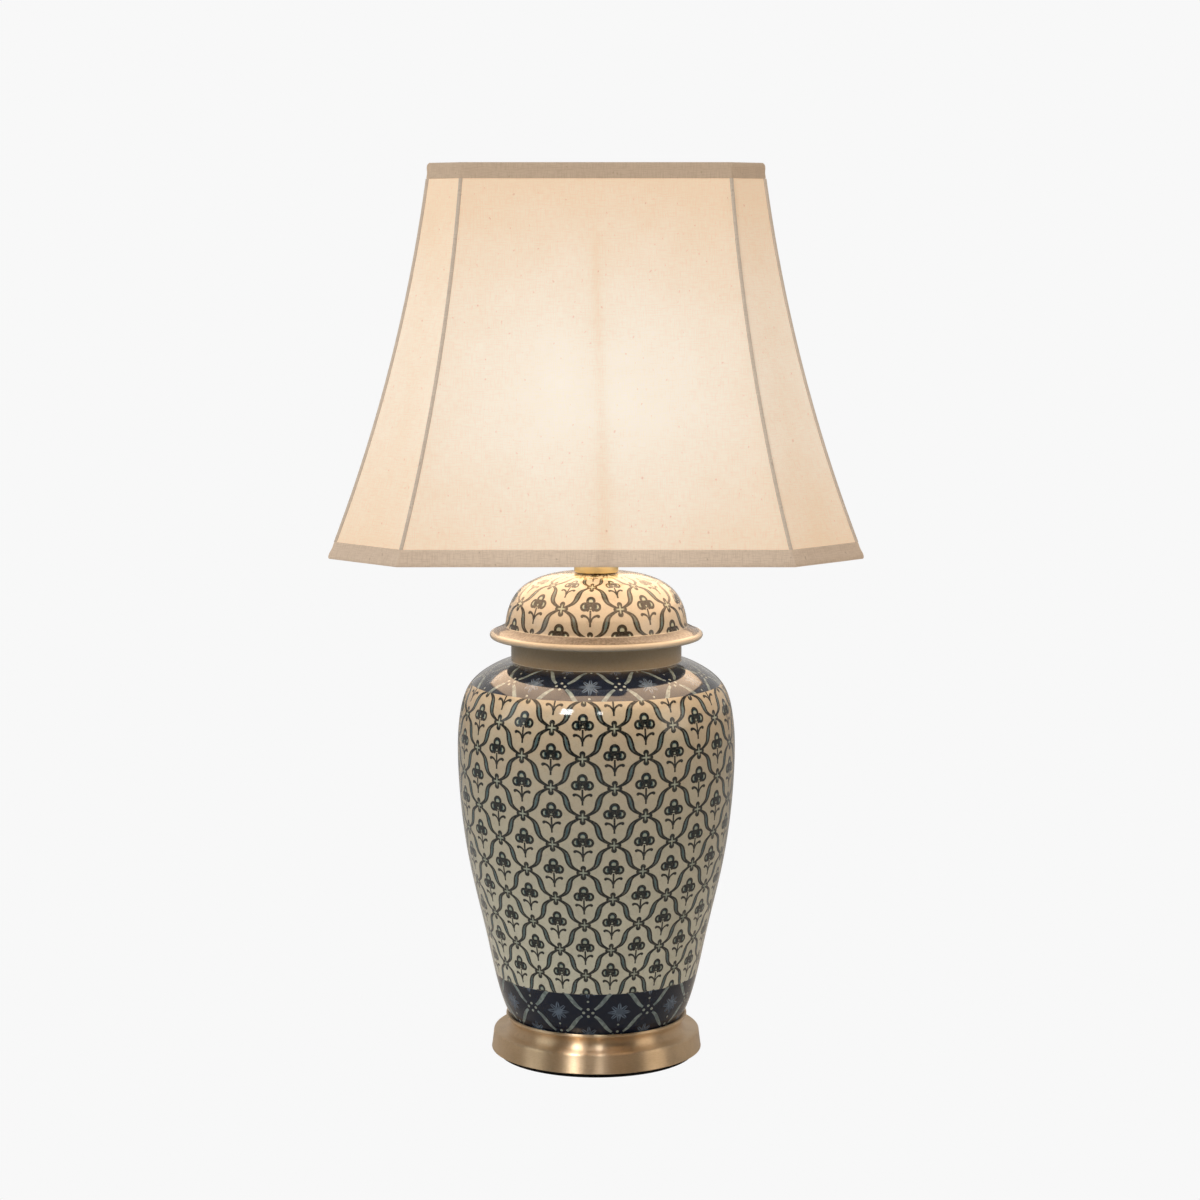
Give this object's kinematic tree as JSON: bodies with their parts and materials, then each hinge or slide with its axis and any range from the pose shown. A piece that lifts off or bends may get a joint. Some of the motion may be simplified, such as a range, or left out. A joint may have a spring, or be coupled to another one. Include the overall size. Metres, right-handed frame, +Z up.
{
  "type": "ginger jar table lamp",
  "caption": "Table lamp: trellis-patterned porcelain ginger jar with domed lid on a stepped brass plinth, under a cut-corner bell shade of cream linen.",
  "frame": {"origin": "middle of the underside of the base pad, on the surface the lamp stands on", "axes": "+Z up along the lamp's axis, the front faces -Y, the switch key points to +X and the cord's outlet to +Y"},
  "size_m": [0.4088, 0.4088, 0.726],
  "materials": {
    "pad": "matte",
    "plinth_brass": "satin",
    "iron": "matte",
    "moulding": "matte",
    "terminal_brass": "satin",
    "lead_sheath": "satin",
    "zinc_steel": "satin",
    "gasket": "matte",
    "porcelain": "gloss",
    "cap_brass": "satin",
    "harp_brass": "satin",
    "holder_brass": "polished",
    "fibre": "matte",
    "screw_metal": "satin",
    "bulb_frosted": "satin",
    "frame_steel": "satin",
    "linen": "matte",
    "lining": "matte",
    "trim_fabric": "matte"
  },
  "bodies": {
    "base": {"base_pad": "pad", "plinth_shell": "plinth_brass", "ballast": "iron", "cord_bush": "moulding", "terminal_block": "moulding", "terminal_screws": "terminal_brass", "inner_leads": "lead_sheath", "lamp_pipe": "zinc_steel", "lower_washer": "zinc_steel", "lower_nut": "zinc_steel", "jar_gasket": "gasket", "jar_body": "porcelain", "jar_lid": "porcelain", "cap_gasket": "gasket", "brass_cap": "cap_brass", "harp_saddle": "harp_brass", "holder_cap": "holder_brass", "holder_shell": "holder_brass", "holder_sleeve": "fibre", "holder_block": "moulding", "terminal_lugs": "terminal_brass", "screw_shell": "screw_metal", "centre_contact": "terminal_brass", "harp_wire": "harp_brass", "harp_crown": "harp_brass"},
    "key": {"switch_key": "holder_brass"},
    "bulb": {"bulb_base": "screw_metal", "bulb_tip": "screw_metal", "bulb_glass": "bulb_frosted"},
    "ferrule_front": {"ferrule_front": "harp_brass"},
    "ferrule_back": {"ferrule_back": "harp_brass"},
    "finial": {"finial": "harp_brass"},
    "shade": {"spider_hub": "frame_steel", "spider_arms": "frame_steel", "shade_top_ring": "frame_steel", "shade_bottom_ring": "frame_steel", "shade_ribs": "frame_steel", "shade_cover": "linen", "shade_lining": "lining", "shade_piping": "trim_fabric", "shade_trim_top": "trim_fabric", "shade_trim_bottom": "trim_fabric"}
  },
  "joints": [
    {"name": "shade_turn", "type": "hinge", "parent": "base", "child": "shade", "pos_m": [0, 0, 0.697], "axis": [0, 0, 1], "continuous": true},
    {"name": "finial_turn", "type": "hinge", "parent": "base", "child": "finial", "pos_m": [0, 0, 0.697], "axis": [0, 0, 1], "continuous": true},
    {"name": "bulb_turn", "type": "hinge", "parent": "base", "child": "bulb", "pos_m": [0, 0, 0.45], "axis": [0, 0, 1], "continuous": true},
    {"name": "key_turn", "type": "hinge", "parent": "base", "child": "key", "pos_m": [0.02, 0, 0.4357], "axis": [1, 0, 0], "continuous": true},
    {"name": "ferrule_front_lift", "type": "slide", "parent": "base", "child": "ferrule_front", "axis": [0, 0, 1], "range_m": [0, 0.014]},
    {"name": "ferrule_back_lift", "type": "slide", "parent": "base", "child": "ferrule_back", "axis": [0, 0, 1], "range_m": [0, 0.014]}
  ]
}
